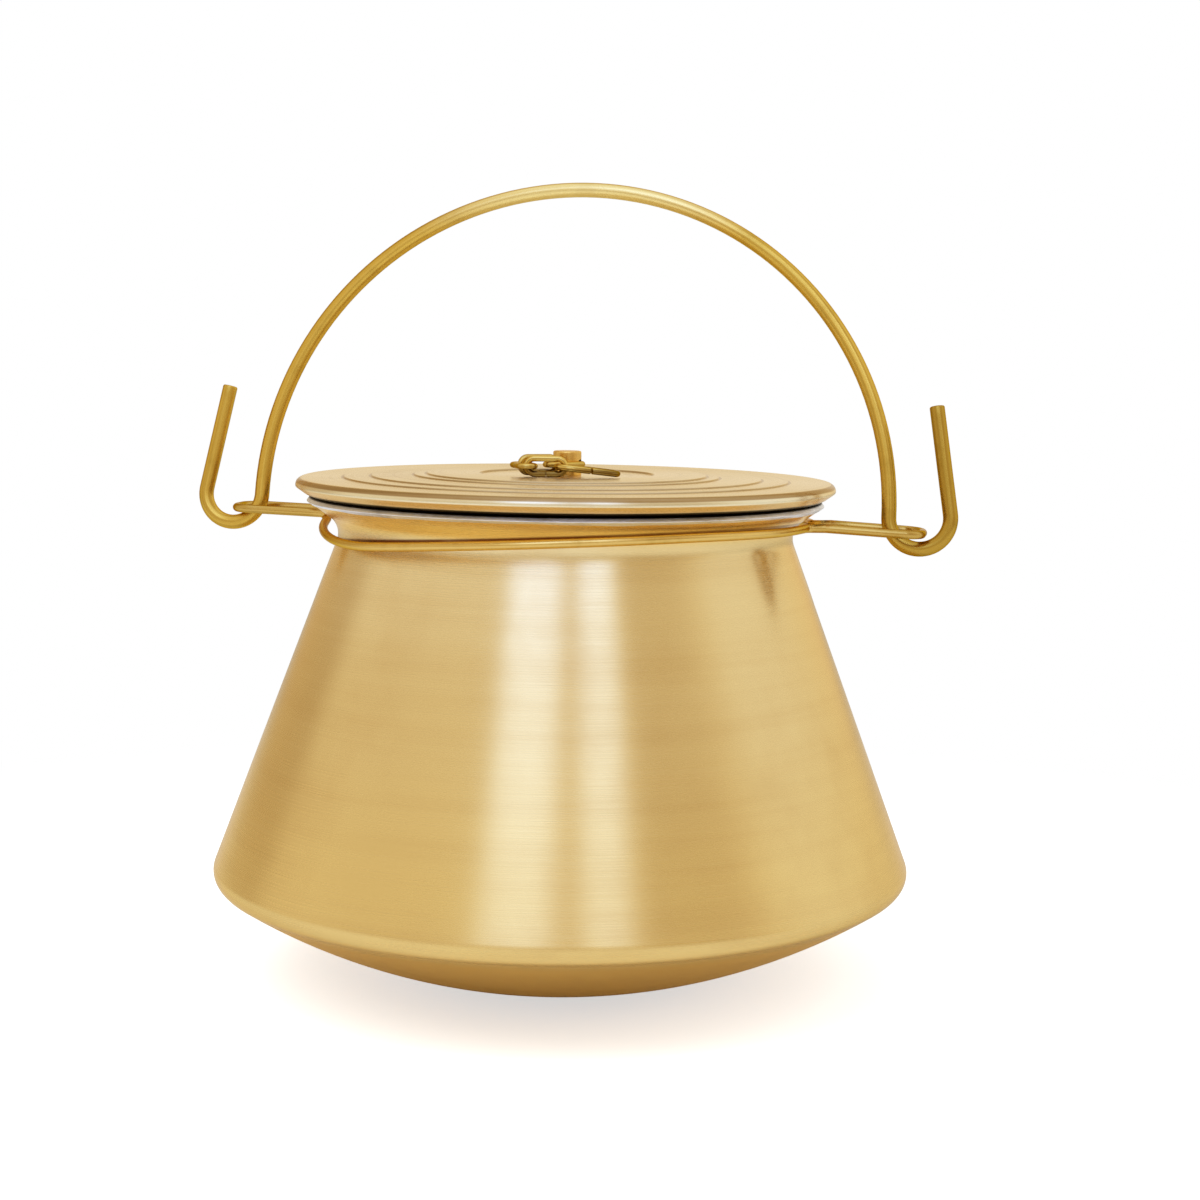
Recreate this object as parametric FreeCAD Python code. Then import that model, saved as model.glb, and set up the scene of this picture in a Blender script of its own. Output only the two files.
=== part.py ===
import FreeCAD, Part
import math
import os
from FreeCAD import Placement, Rotation, Vector

# Lidded brass cooking pot with a bail, millimetres, +Z up, origin at the middle of the resting face.
# The eyes and the bail ends lie on the X axis, the front of the pot faces -Y.

# Pot sheet: corner points of its outer outline as radius and height, before the bends are put in
rest_r = 24.0
shoulder_corner = Vector(131.0, 0, 40.0)
neck_corner = Vector(82.8, 0, 169.0)
rim_corner = Vector(95.6, 0, 178.25)
shoulder_bend = 6.0
neck_bend = 8.0
sheet = 1.5
tin = 0.2
tin_lap = 1.6

# Lid: a spun plate stepped up towards a shallow seat in the middle, its edge turned under to a sloping lip
lid_r = 100.0
lid_top = 186.7
lid_fold = 181.1
lid_lip_r = 92.5
lid_lip = 178.9
lid_sheet = 1.2
lid_roll = 2.7
lid_bevel = 3.4
lid_nose = 183.5
lid_steps = ((82.7, 0.5), (72.7, 0.5), (57.0, 0.5), (52.3, 0.5))
well_r = 32.0
well_drop = 0.6

# Peg in the lid, held by a washer and a spread tail under the sheet
peg_r = 5.25
peg_tall = 9.0
peg_round = 0.5
tail_r = 3.0
tail_play = 0.15
washer_r = 7.0
washer_thick = 1.0
tail_head_r = 4.4
tail_head = 0.7
peg_hole_r = 1.65
chain_level = 4.3

# Chain: a yoke through the peg, three plain links and a larger split link
chain_wire_r = 1.1
split_wire_r = 1.2
yoke_reach = 13.0
yoke_half = 7.6
yoke_end_half = 3.4
yoke_bends = (3.0, 3.0, 2.2, 2.2)
link_half_long = 6.9
link_half_wide = 2.8
split_half_long = 11.2
split_half_wide = 5.2
link_play = 2.75
link_seam = 0.2
end_round = 0.97
split_seam = 0.8
split_dip = 6.6
headings = (260.0, 210.0, 300.0, 10.0, 28.0)

# Wire round the neck, hung a little askew, bent out at each side into a flat eye
neck_wire_r = 1.6
ring_r = 90.5
ring_centre = Vector(1.0, -1.1, 165.9)
ring_tilt = 2.5
ring_side_tilt = 3.3
ring_gap_angle = 0.4
eye_half_wide = 9.9
eye_root = 94.7
eye_root_shift = 3.3
eye_tip = 130.0
eye_tip_shift = 2.2
eye_root_level = 171.8
eye_mid_tip_level = 171.5
eye_tip_slope = 1.25
eye_sweep_angle = 54.0
eye_lead = 9.5
eye_lifts = (0.74, 0.84)
eye_bends = (3.4, 2.0, 7.5, 7.5, 2.0, 3.4)

# Bail: half a circle with its ends hooked down through the eyes and up again, at rest leaning to the back
bail_rod_r = 2.75
bail_r = 119.75
bail_centre = 176.75
hook_r = 11.2
hook_lean = 9.5
hook_leg = 40.0
bail_pivot = 168.35
bail_lean = 10.0
bail_tilt = 0.45

axis = Vector(0, 0, 1)
os.makedirs("parts", exist_ok=True)


def line(a, b):
    return Part.LineSegment(a, b).toShape()


def arc(a, middle, b):
    return Part.Arc(a, middle, b).toShape()


def unit(v):
    return Vector(v) / v.Length


def left_of(v):
    return Vector(-v.z, 0, v.x)


def polyline(points):
    return [line(a, b) for a, b in zip(points, points[1:])]


def turned(edges):
    wire = Part.Wire(Part.__sortEdges__(edges))
    return Part.Face(wire).revolve(Vector(0, 0, 0), axis, 360)


def rounded_path(points, bends):
    """Edges of an open path through points, every inner corner turned to its own radius."""
    edges = []
    start = points[0]
    for before, corner, after, bend in zip(points, points[1:], points[2:], bends):
        back = unit(before - corner)
        ahead = unit(after - corner)
        half = back.getAngle(ahead) / 2
        trim = bend / math.tan(half)
        centre = corner + unit(back + ahead) * (bend / math.sin(half))
        middle = centre + unit(corner - centre) * bend
        edges.append(line(start, corner + back * trim))
        edges.append(arc(corner + back * trim, middle, corner + ahead * trim))
        start = corner + ahead * trim
    edges.append(line(start, points[-1]))
    return edges


def rod(edges, radius):
    first = edges[0]
    start = first.FirstParameter
    section = Part.Circle(first.valueAt(start), first.tangentAt(start), radius)
    return Part.Wire(edges).makePipeShell([Part.Wire(section.toShape())], True, True)


def save(name, shape):
    shape.exportStep("parts/" + name + ".step")


# Centres shared by the outer and inner outlines of the pot
cone = unit(neck_corner - shoulder_corner)
flare = unit(rim_corner - neck_corner)
cone_in = left_of(cone)
flare_in = left_of(flare)
corner_sq = shoulder_corner.x ** 2 + shoulder_corner.z ** 2
dome_centre = Vector(0, 0, (corner_sq - rest_r ** 2) / (2 * shoulder_corner.z))
dome_r = math.hypot(rest_r, dome_centre.z)
reach = shoulder_corner + cone_in * shoulder_bend - dome_centre
along = reach.dot(cone)
slide = -along - math.sqrt(along ** 2 - reach.dot(reach) + (dome_r - shoulder_bend) ** 2)
shoulder_centre = dome_centre + reach + cone * slide
opening = (cone * -1).getAngle(flare) / 2
neck_centre = neck_corner + unit(flare - cone) * (neck_bend / math.sin(opening))


def pot_outline(inset, extra):
    """Pot outline moved inwards by inset, from the axis to the rim, with the rim carried on by extra."""
    start = Vector(0, 0, inset)
    flat = Vector(math.sqrt((dome_r - inset) ** 2 - (dome_centre.z - inset) ** 2), 0, inset)
    away = unit(shoulder_centre - dome_centre)
    dome_mid = dome_centre + unit(unit(flat - dome_centre) + away) * (dome_r - inset)
    dome_end = dome_centre + away * (dome_r - inset)
    bend = shoulder_bend - inset
    shoulder_mid = shoulder_centre + unit(away - cone_in) * bend
    cone_start = shoulder_centre - cone_in * bend
    cone_end = neck_centre + cone_in * (neck_bend + inset)
    neck_mid = neck_centre + unit(cone_in + flare_in) * (neck_bend + inset)
    flare_start = neck_centre + flare_in * (neck_bend + inset)
    rim = rim_corner + flare_in * inset + flare * extra
    edges = [line(start, flat), arc(flat, dome_mid, dome_end), arc(dome_end, shoulder_mid, cone_start)]
    edges += [line(cone_start, cone_end), arc(cone_end, neck_mid, flare_start), line(flare_start, rim)]
    return edges, start, rim


# Pot body and the tin wiped over its inside and round the rim
outer, outer_start, outer_rim = pot_outline(0, 0)
inner, inner_start, inner_rim = pot_outline(sheet, 0)
save("pot_body", turned(outer + inner + [line(outer_start, inner_start), line(outer_rim, inner_rim)]))

wetted, wetted_start, wetted_rim = pot_outline(sheet + tin, tin)
lap_edge = rim_corner - flare_in * tin
lap = [
    wetted_rim,
    lap_edge + flare * tin,
    lap_edge - flare * tin_lap,
    rim_corner - flare * tin_lap,
    rim_corner,
    inner_rim,
]
save("tin_lining", turned(inner + wetted + [line(inner_start, wetted_start)] + polyline(lap)))

# Lid plate: top surface from the edge to the middle, the underside one sheet below it
level = lid_top
roll_r = lid_r - lid_roll
top = [Vector(roll_r, 0, level)]
for step_r, rise in lid_steps:
    top += [Vector(step_r, 0, level), Vector(step_r - rise, 0, level + rise)]
    level += rise
top += [Vector(well_r + well_drop, 0, level), Vector(well_r, 0, level - well_drop)]
floor = level - well_drop
top.append(Vector(tail_r + tail_play, 0, floor))
under = [p - axis * lid_sheet for p in top]
roll_z = lid_top - lid_roll
quarter = math.sqrt(0.5)
thin_roll = lid_roll - lid_sheet
fold = Vector(lid_r - lid_bevel, 0, lid_fold)
lip = Vector(lid_lip_r, 0, lid_lip)
lift = axis * lid_sheet
edge_out = [Vector(lid_r, 0, roll_z), Vector(lid_r, 0, lid_nose), fold, lip]
edge_in = [lip + lift, fold + lift, Vector(lid_r - lid_sheet, 0, roll_z)]
roll_out = arc(top[0], Vector(roll_r + lid_roll * quarter, 0, roll_z + lid_roll * quarter), edge_out[0])
roll_in = arc(edge_in[-1], Vector(roll_r + thin_roll * quarter, 0, roll_z + thin_roll * quarter), under[0])
rim_fold = polyline(edge_out + edge_in) + [roll_out, roll_in]
save("lid_plate", turned(polyline(top) + polyline(under) + [line(top[-1], under[-1])] + rim_fold))

# Peg with its cross hole, and the washer its tail is spread over
hole_across = Vector(-math.sin(math.radians(headings[0])), math.cos(math.radians(headings[0])), 0)
washer_top = floor - lid_sheet
washer_low = washer_top - washer_thick
peg_profile = [
    Vector(0, 0, washer_low - tail_head),
    Vector(tail_head_r - tail_head, 0, washer_low - tail_head),
    Vector(tail_head_r, 0, washer_low),
    Vector(tail_r, 0, washer_low),
    Vector(tail_r, 0, floor),
    Vector(peg_r, 0, floor),
    Vector(peg_r, 0, floor + peg_tall - peg_round),
    Vector(peg_r - peg_round, 0, floor + peg_tall),
    Vector(0, 0, floor + peg_tall),
    Vector(0, 0, washer_low - tail_head),
]
peg = turned(polyline(peg_profile))
hole_mid = axis * (floor + chain_level)
hole = Part.makeCylinder(peg_hole_r, 4 * peg_r, hole_mid - hole_across * (2 * peg_r), hole_across)
save("lid_knob", peg.cut(hole))
bore_r = tail_r + tail_play
washer = Part.makeCylinder(washer_r, washer_thick, axis * washer_low)
save("knob_washer", washer.cut(Part.makeCylinder(bore_r, washer_thick, axis * washer_low)))


def wire_loop(origin, ahead, across, corners, bends, seam, radius):
    """Wire bent round corners given as (ahead, across), its butt ends in the middle of the first side."""
    points = [origin + ahead * u + across * v for u, v in corners]
    side = unit(points[0] - points[-1])
    joint = (points[0] + points[-1]) / 2
    path = [joint + side * (seam / 2)] + points + [joint - side * (seam / 2)]
    return rod(rounded_path(path, bends), radius)


def oval(half_long, half_wide):
    far = [(half_long, -half_wide), (half_long, half_wide)]
    near = [(-half_long, half_wide), (-half_long, -half_wide)]
    return far + near


# Chain laid out on the lid: flat links and links on edge by turns, each linked through the one before
ways = [Vector(math.cos(math.radians(h)), math.sin(math.radians(h)), 0) for h in headings]
yoke = [(yoke_reach, -yoke_end_half), (yoke_reach, yoke_end_half), (0, yoke_half), (0, -yoke_half)]
save("chain_link_1", wire_loop(hole_mid, ways[0], hole_across, yoke, yoke_bends, link_seam, chain_wire_r))
end = hole_mid + ways[0] * yoke_reach
for i in (1, 2, 3):
    on_edge = i % 2 == 1
    near = end - (ways[i - 1] if on_edge else ways[i]) * link_play
    across = axis if on_edge else axis.cross(ways[i])
    corners = oval(link_half_long, link_half_wide)
    bends = [link_half_wide * end_round] * 4
    centre = near + ways[i] * link_half_long
    link = wire_loop(centre, ways[i], across, corners, bends, link_seam, chain_wire_r)
    save("chain_link_%d" % (i + 1), link)
    end = centre + ways[i] * link_half_long
dip = Rotation(axis.cross(ways[4]), split_dip)
fall = dip.multVec(ways[4])
centre = end - ways[4] * link_play + fall * split_half_long
corners = oval(split_half_long, split_half_wide)
bends = [split_half_wide * end_round] * 4
save("split_link", wire_loop(centre, fall, axis.cross(ways[4]), corners, bends, split_seam, split_wire_r))

# Neck wire: two ends meeting at the back, an eye bent out at each side
ring = Placement(ring_centre, Rotation(0, -ring_side_tilt, -ring_tilt))
lead_angle = math.asin((eye_half_wide + eye_lead) / ring_r)
sweep_angle = math.radians(eye_sweep_angle)
sweep_handle = ring_r * math.tan((sweep_angle - lead_angle) / 4) * 4 / 3


def ring_point(angle):
    return ring.multVec(Vector(math.cos(angle), math.sin(angle), 0) * ring_r)


def ring_run(angle):
    """Way the wire runs at angle, going clockwise seen from above."""
    return ring.Rotation.multVec(Vector(math.sin(angle), -math.cos(angle), 0))


def lifted(angle, run, share):
    """Point a run along from the ring at angle, lifted by a share of the height up to the eyes."""
    point = ring_point(angle) + ring_run(angle) * run
    return point + axis * ((eye_root_level - point.z) * share)


def sweep(start, start_way, end, end_way):
    curve = Part.BezierCurve()
    curve.setPoles([start, start + start_way * sweep_handle, end - end_way * sweep_handle, end])
    return curve.toShape()


def eye(side, middle):
    """Wire swept up from the ring, out round the eye on one side and back, about the angle middle."""
    ways = (side * eye_half_wide, -side * eye_half_wide)
    tip_level = eye_mid_tip_level - side * eye_tip_slope
    root = [Vector(side * eye_root + eye_root_shift, w, eye_root_level) for w in ways]
    tip = [Vector(side * eye_tip + eye_tip_shift, w, tip_level) for w in ways]
    into = [lifted(middle + lead_angle, eye_lead * i, eye_lifts[i]) for i in (0, 1)]
    out = [lifted(middle - lead_angle, -eye_lead * i, eye_lifts[i]) for i in (1, 0)]
    enter = middle + sweep_angle
    leave = middle - sweep_angle
    edges = [sweep(ring_point(enter), ring_run(enter), into[0], unit(into[1] - into[0]))]
    edges += rounded_path(into + [root[0], tip[0], tip[1], root[1]] + out, eye_bends)
    edges += [sweep(out[1], unit(out[1] - out[0]), ring_point(leave), ring_run(leave))]
    return edges


def ring_arc(start, finish):
    return arc(ring_point(start), ring_point((start + finish) / 2), ring_point(finish))


back = math.pi / 2
gap = math.radians(ring_gap_angle)
path = [ring_arc(back - gap, sweep_angle)]
path += eye(1, 0)
path += [ring_arc(-sweep_angle, sweep_angle - math.pi)]
path += eye(-1, -math.pi)
path += [ring_arc(-sweep_angle - math.pi, gap - 3 * back)]
save("neck_wire", rod(path, neck_wire_r))


def hook(side):
    """Points along one hooked end of the bail: free tip, foot of the leg, bottom and inner side."""
    lean = math.radians(hook_lean)
    middle = Vector(side * (bail_r + hook_r), 0, bail_centre)
    foot = middle + Vector(side * math.cos(lean), 0, math.sin(lean)) * hook_r
    tip = foot + Vector(-side * math.sin(lean), 0, math.cos(lean)) * hook_leg
    return tip, foot, middle - axis * hook_r, Vector(side * bail_r, 0, bail_centre)


# Bail: free leg, hook, half circle, hook, free leg
left = hook(-1)
right = hook(1)
bail = [line(left[0], left[1]), arc(left[1], left[2], left[3])]
bail += [arc(left[3], axis * (bail_centre + bail_r), right[3])]
bail += [arc(right[3], right[2], right[1]), line(right[1], right[0])]
handle = rod(bail, bail_rod_r)
handle.rotate(axis * bail_pivot, Vector(1, 0, 0), -bail_lean)
handle.rotate(axis * bail_pivot, Vector(0, 1, 0), bail_tilt)
save("bail_handle", handle)
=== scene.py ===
import math

import bmesh
import bpy
from mathutils import Matrix, Vector


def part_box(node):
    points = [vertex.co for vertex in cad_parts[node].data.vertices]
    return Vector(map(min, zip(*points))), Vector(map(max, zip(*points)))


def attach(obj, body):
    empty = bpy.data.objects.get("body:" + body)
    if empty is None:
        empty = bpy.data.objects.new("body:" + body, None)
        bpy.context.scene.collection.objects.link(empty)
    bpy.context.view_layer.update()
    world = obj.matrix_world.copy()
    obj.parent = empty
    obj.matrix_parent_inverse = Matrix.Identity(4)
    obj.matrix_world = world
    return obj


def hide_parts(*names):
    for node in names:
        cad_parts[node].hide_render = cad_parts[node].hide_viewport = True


bl_info = {
    "name": "Lidded pot with bail",
    "version": (1, 0, 0),
    "blender": (4, 5, 0),
    "location": "View3D > Sidebar > Pot",
    "description": "Builds a spun brass cooking pot with a stepped lid, a short chain and a hooked bail",
    "category": "Object",
}

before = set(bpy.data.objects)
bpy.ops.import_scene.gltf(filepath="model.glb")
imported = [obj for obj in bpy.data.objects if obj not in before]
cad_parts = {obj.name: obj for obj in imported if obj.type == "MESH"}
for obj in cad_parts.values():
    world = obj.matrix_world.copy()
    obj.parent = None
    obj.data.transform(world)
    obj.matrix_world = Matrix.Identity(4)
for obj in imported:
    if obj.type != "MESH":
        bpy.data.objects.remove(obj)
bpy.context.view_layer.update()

# Lengths are in metres, and the pot's own sizes are written in millimetres
mm = 0.001
up = Vector((0, 0, 1))

# Fineness of the meshes: turn between points of an arc, longest edge along an outline, sides of a wire
fine_turn = math.radians(5)
dome_turn = math.radians(1.2)
ring_turn = math.radians(3)
arch_turn = math.radians(2)
crease_angle = math.radians(38)
long_edge = 4 * mm
lid_long_edge = 3 * mm
peg_long_edge = 1 * mm
rod_sides = 32
wire_sides = 24
chain_sides = 20

lid_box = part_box("lid_plate")
knob_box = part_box("lid_knob")
washer_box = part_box("knob_washer")


# Settings that a user would change

def length(name, size, description):
    """Property for a length, its default in metres."""
    return bpy.props.FloatProperty(
        name=name, description=description, default=size, unit="LENGTH", subtype="DISTANCE", precision=5
    )


def angle(name, degrees, description):
    """Property for an angle, its default in degrees."""
    return bpy.props.FloatProperty(
        name=name, description=description, default=math.radians(degrees), unit="ROTATION", subtype="ANGLE"
    )


def share(name, default, description):
    """Property for a number from 0 to 1."""
    return bpy.props.FloatProperty(
        name=name, description=description, default=default, min=0.0, max=1.0, subtype="FACTOR"
    )


def colour(name, default, description):
    """Property for a linear colour."""
    return bpy.props.FloatVectorProperty(
        name=name, description=description, default=default, size=3, min=0.0, max=1.0, subtype="COLOR"
    )


class PotSizes(bpy.types.PropertyGroup):
    """Sizes of the spun pot, its corners given before they are bent round."""

    rest_radius: length("Rest radius", 24 * mm, "Radius of the flat that the pot stands on")
    shoulder_radius: length("Shoulder radius", 131 * mm, "Radius of the corner between dome and cone")
    shoulder_height: length("Shoulder height", 40 * mm, "Height of the corner between dome and cone")
    shoulder_bend: length("Shoulder bend", 6 * mm, "Radius that the shoulder is bent to")
    neck_radius: length("Neck radius", 82.8 * mm, "Radius of the corner between cone and rim")
    neck_height: length("Neck height", 169 * mm, "Height of the corner between cone and rim")
    neck_bend: length("Neck bend", 8 * mm, "Radius that the neck is bent to")
    rim_radius: length("Rim radius", 95.6 * mm, "Outer radius of the flared rim")
    rim_height: length("Rim height", 178.25 * mm, "Height of the rim's outer corner")
    sheet: length("Sheet", 1.5 * mm, "Thickness of the brass sheet")
    tin: length("Tin", 0.2 * mm, "Thickness of the tin wiped over the inside")
    tin_lap: length("Tin lap", 1.6 * mm, "How far the tin laps over the outside of the rim")
    tin_ragged: length("Ragged edge", 0.5 * mm, "How far the lapped edge of the tin wanders")
    tin_bend: length("Tin bend", 0.15 * mm, "Radius of the tin at the rim's outer corner")
    waver: length("Waver", 0.12 * mm, "Half of how far the spun wall wavers inwards")


class LidSizes(bpy.types.PropertyGroup):
    """Sizes of the spun lid, its peg and the washer under it."""

    radius: length("Radius", lid_box[1].x, "Outer radius of the lid")
    fold: length("Fold", 181.1 * mm, "Height at which the edge is turned under")
    lip: length("Lip", lid_box[0].z, "Height of the end of the turned-under lip")
    lip_radius: length("Lip radius", 92.5 * mm, "Radius at which the turned-under lip ends")
    top: length("Top", 186.7 * mm, "Height of the outer ring of the top")
    sheet: length("Sheet", 1.2 * mm, "Thickness of the brass sheet")
    roll: length("Roll", 2.7 * mm, "Radius of the rounded edge")
    nose: length("Nose", 183.5 * mm, "Height at which the edge starts to slope in")
    bevel: length("Bevel", 3.4 * mm, "How far in from the edge the lip is folded")
    nose_bend: length("Nose bend", 0.8 * mm, "Radius of the edge where it starts to slope in")
    fold_bend: length("Fold bend", 0.5 * mm, "Radius of the fold")
    step: length("Step", 0.5 * mm, "Rise of each turned step")
    step_bend: length("Step bend", 0.25 * mm, "Radius of the corners of a step")
    step_radii: bpy.props.FloatVectorProperty(
        name="Step radii", description="Radius of each turned step, from the edge inwards",
        default=(82.7 * mm, 72.7 * mm, 57 * mm, 52.3 * mm), size=4, unit="LENGTH", precision=5,
    )
    well_radius: length("Well radius", 32 * mm, "Radius of the shallow seat round the peg")
    well_drop: length("Well drop", 0.6 * mm, "Depth of the shallow seat round the peg")
    peg_radius: length("Peg radius", knob_box[1].x, "Radius of the peg")
    peg_height: length("Peg height", 9 * mm, "Height of the peg over the lid")
    peg_hole: length("Peg hole", 1.65 * mm, "Radius of the cross hole in the peg")
    chain_level: length("Chain level", 4.3 * mm, "Height of the cross hole over the lid")
    tail_radius: length("Tail radius", 3 * mm, "Radius of the peg's tail through the lid")
    tail_gap: length("Tail gap", 0.15 * mm, "Gap round the tail in the lid and the washer")
    tail_head: length("Tail head", 4.4 * mm, "Radius that the tail is spread to")
    tail_head_height: length("Tail head height", 0.7 * mm, "Height of the spread end of the tail")
    washer_bend: length("Washer bend", 0.15 * mm, "Radius of the washer's edges")


class WireSizes(bpy.types.PropertyGroup):
    """Sizes of the wire round the neck and its two eyes."""

    radius: length("Wire radius", 1.6 * mm, "Radius of the wire")
    rubbed: length("Rubbed edge", 0.3 * mm, "How far the edges of the wire's ends are rubbed round")
    ring_radius: length("Ring radius", 90.5 * mm, "Radius of the ring round the neck")
    ring_centre: bpy.props.FloatVectorProperty(
        name="Ring centre", description="Middle of the ring, which hangs a little askew",
        default=(1 * mm, -1.1 * mm, 165.9 * mm), size=3, unit="LENGTH", subtype="XYZ", precision=5,
    )
    ring_tilt: angle("Ring tilt", 2.5, "How far the ring leans to the back")
    ring_side_tilt: angle("Ring side tilt", 3.3, "How far the ring leans to the left")
    ring_gap: angle("Ring gap", 0.4, "Half of the gap where the wire's ends meet at the back")
    eye_half_width: length("Eye half width", 9.9 * mm, "Half of the width of an eye, between wire middles")
    eye_root: length("Eye root", 94.7 * mm, "Mean distance from the axis at which the eyes start")
    eye_tip: length("Eye tip", 130 * mm, "Distance from the axis at which an eye ends")
    eye_root_shift: length("Eye root shift", 3.3 * mm, "How far the eyes' roots lie to the right of that")
    eye_tip_shift: length("Eye tip shift", 2.2 * mm, "How far the eyes' tips lie to the right")
    eye_root_level: length("Eye root level", 171.8 * mm, "Height at which the eyes start")
    eye_tip_level: length("Eye tip level", 171.5 * mm, "Mean height at which the eyes end")
    eye_slope: length("Eye slope", 1.25 * mm, "How far the left tip is over that height, and the right under")
    eye_sweep: angle("Eye sweep", 54, "Angle from an eye at which the wire starts to sweep up to it")
    eye_lead: length("Eye lead", 9.5 * mm, "Straight run between the sweep and an eye")
    lead_start_lift: share("Lead start lift", 0.74, "Share of the way up to the eyes where that run starts")
    lead_end_lift: share("Lead end lift", 0.84, "Share of the way up to the eyes where that run ends")
    lead_bend: length("Lead bend", 3.4 * mm, "Radius of the bend at the end of that run")
    root_bend: length("Root bend", 2 * mm, "Radius of the bends at an eye's root")
    tip_bend: length("Tip bend", 7.5 * mm, "Radius of the bends at an eye's tip")


class BailSizes(bpy.types.PropertyGroup):
    """Sizes of the rod bail and its hooked ends."""

    rod_radius: length("Rod radius", 2.75 * mm, "Radius of the rod")
    rubbed: length("Rubbed edge", 0.6 * mm, "How far the edges of the rod's ends are rubbed round")
    radius: length("Bail radius", 119.75 * mm, "Radius of the half circle")
    centre: length("Bail centre", 176.75 * mm, "Height of the middle of the half circle, upright")
    hook_radius: length("Hook radius", 11.2 * mm, "Radius of the hooked ends")
    hook_lean: angle("Hook lean", 9.5, "How far the free legs lean inwards")
    hook_leg: length("Hook leg", 40 * mm, "Straight length of the free legs")
    pivot: length("Pivot", 168.35 * mm, "Height of the line that the bail swings about")
    lean: angle("Lean", 10, "How far the bail leans to the back at rest")
    tilt: angle("Tilt", 0.45, "How far the bail's right side hangs lower than its left")


class ChainSizes(bpy.types.PropertyGroup):
    """Sizes of the chain and the way that it lies on the lid."""

    wire_radius: length("Wire radius", 1.1 * mm, "Radius of the wire of the small links")
    split_wire_radius: length("Split link wire", 1.2 * mm, "Radius of the wire of the split link")
    rubbed: length("Rubbed edge", 0.1 * mm, "How far the edges of a link's ends are rubbed round")
    split_rubbed: length("Split link's rubbed edge", 0.15 * mm, "The same for the split link's ends")
    yoke_reach: length("Yoke reach", 13 * mm, "Length of the yoke from the peg's middle")
    yoke_half_width: length("Yoke half width", 7.6 * mm, "Half of the yoke's width at the peg")
    yoke_end: length("Yoke end", 3.4 * mm, "Half of the yoke's width at its end")
    yoke_end_bend: length("Yoke end bend", 3 * mm, "Radius of the yoke's corners at its end")
    yoke_peg_bend: length("Yoke peg bend", 2.2 * mm, "Radius of the yoke's corners at the peg")
    link_half_length: length("Link half length", 6.9 * mm, "Half of a small link's length")
    link_half_width: length("Link half width", 2.8 * mm, "Half of a small link's width")
    split_half_length: length("Split half length", 11.2 * mm, "Half of the split link's length")
    split_half_width: length("Split half width", 5.2 * mm, "Half of the split link's width")
    play: length("Play", 2.75 * mm, "How far a link reaches into the one before it")
    seam: length("Seam", 0.2 * mm, "Gap between the butted ends of a small link")
    split_seam: length("Split seam", 0.8 * mm, "Gap between the ends of the split link")
    split_dip: angle("Split dip", 6.6, "How far the split link dips towards the lid")
    headings: bpy.props.FloatVectorProperty(
        name="Headings", description="Way that each link lies, in degrees from +X",
        default=(260, 210, 300, 10, 28), size=5,
    )


class Finishes(bpy.types.PropertyGroup):
    """Colours of the metals as seen in plain white light; some of them are painted light and shade."""

    pot: colour("Pot brass", (0.82, 0.62, 0.28), "Satin brass of the pot")
    pot_shade: colour("Pot tarnish", (0.66, 0.43, 0.16), "Browner brass in the tarnished patches")
    # Painted light by height: the lower colour is painted shade low on the cone, the upper a painted sheen
    # high on it.
    pot_low_shade: colour("Lower brass", (0.84, 0.60, 0.19), "Deeper gold of the lower part of the cone")
    pot_top_sheen: colour("Upper brass", (0.95, 0.82, 0.52), "Paler brass of the upper part of the cone")
    # Painted shade: darker, browner brass for the dome below the shoulder.
    dome: colour("Dome brass", (0.80, 0.50, 0.13), "Brass of the dome below the shoulder")
    # Painted sheen: brighter gold for the flared rim.
    flare: colour("Flare brass", (0.96, 0.70, 0.24), "Brighter gold of the flared rim")
    lid: colour("Lid brass", (0.88, 0.77, 0.51), "Pale satin brass of the lid")
    # Painted shade: deeper gold for the bevel under the lid's rounded edge.
    lid_bevel_shade: colour("Lid edge", (0.84, 0.60, 0.28), "Deeper gold of the lid's rounded edge")
    # Brown of the turned lines, also used as a painted dark reflection where the lid's top rounds over.
    lid_lines_and_edge_shade: colour("Lid lines", (0.38, 0.22, 0.07), "Brown left in the turned lines of the lid")
    rod: colour("Rod brass", (0.72, 0.46, 0.08), "Deeper brass of the bail")
    # Tarnish, also used as painted shade on the wire's eyes and the bail's right hook.
    rod_tarnish_and_shade: colour("Rod tarnish", (0.42, 0.24, 0.03), "Tarnish along the bail")
    # Painted highlight: paler brass for the top of the bail.
    crown: colour("Crown brass", (0.90, 0.72, 0.30), "Paler brass where a hand rubs the top of the bail")
    wire: colour("Wire brass", (0.78, 0.53, 0.16), "Brass of the neck wire")
    peg: colour("Peg brass", (0.88, 0.55, 0.15), "Warm brass of the peg")
    chain: colour("Chain brass", (0.80, 0.55, 0.14), "Brass of the chain")
    # Tarnish in patches, also used as painted shade under the links.
    chain_tarnish_and_shade: colour("Chain tarnish", (0.13, 0.06, 0.01), "Dark tarnish in patches along the chain")
    tin: colour("Tin", (0.86, 0.87, 0.90), "Wiped tin")
    tin_shade: colour("Tin smears", (0.36, 0.34, 0.32), "Darker smears in the tin")
    # Painted shade: black for the gap between rim and lid.
    gap_shade: colour("Grime", (0.03, 0.016, 0.008), "Blackened metal in the gap between rim and lid")
    # Painted shadow: red-brown for the wire's shadow on the neck.
    stain: colour("Stain", (0.16, 0.05, 0.012), "Red-brown stain on the neck beside the wire")


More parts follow.
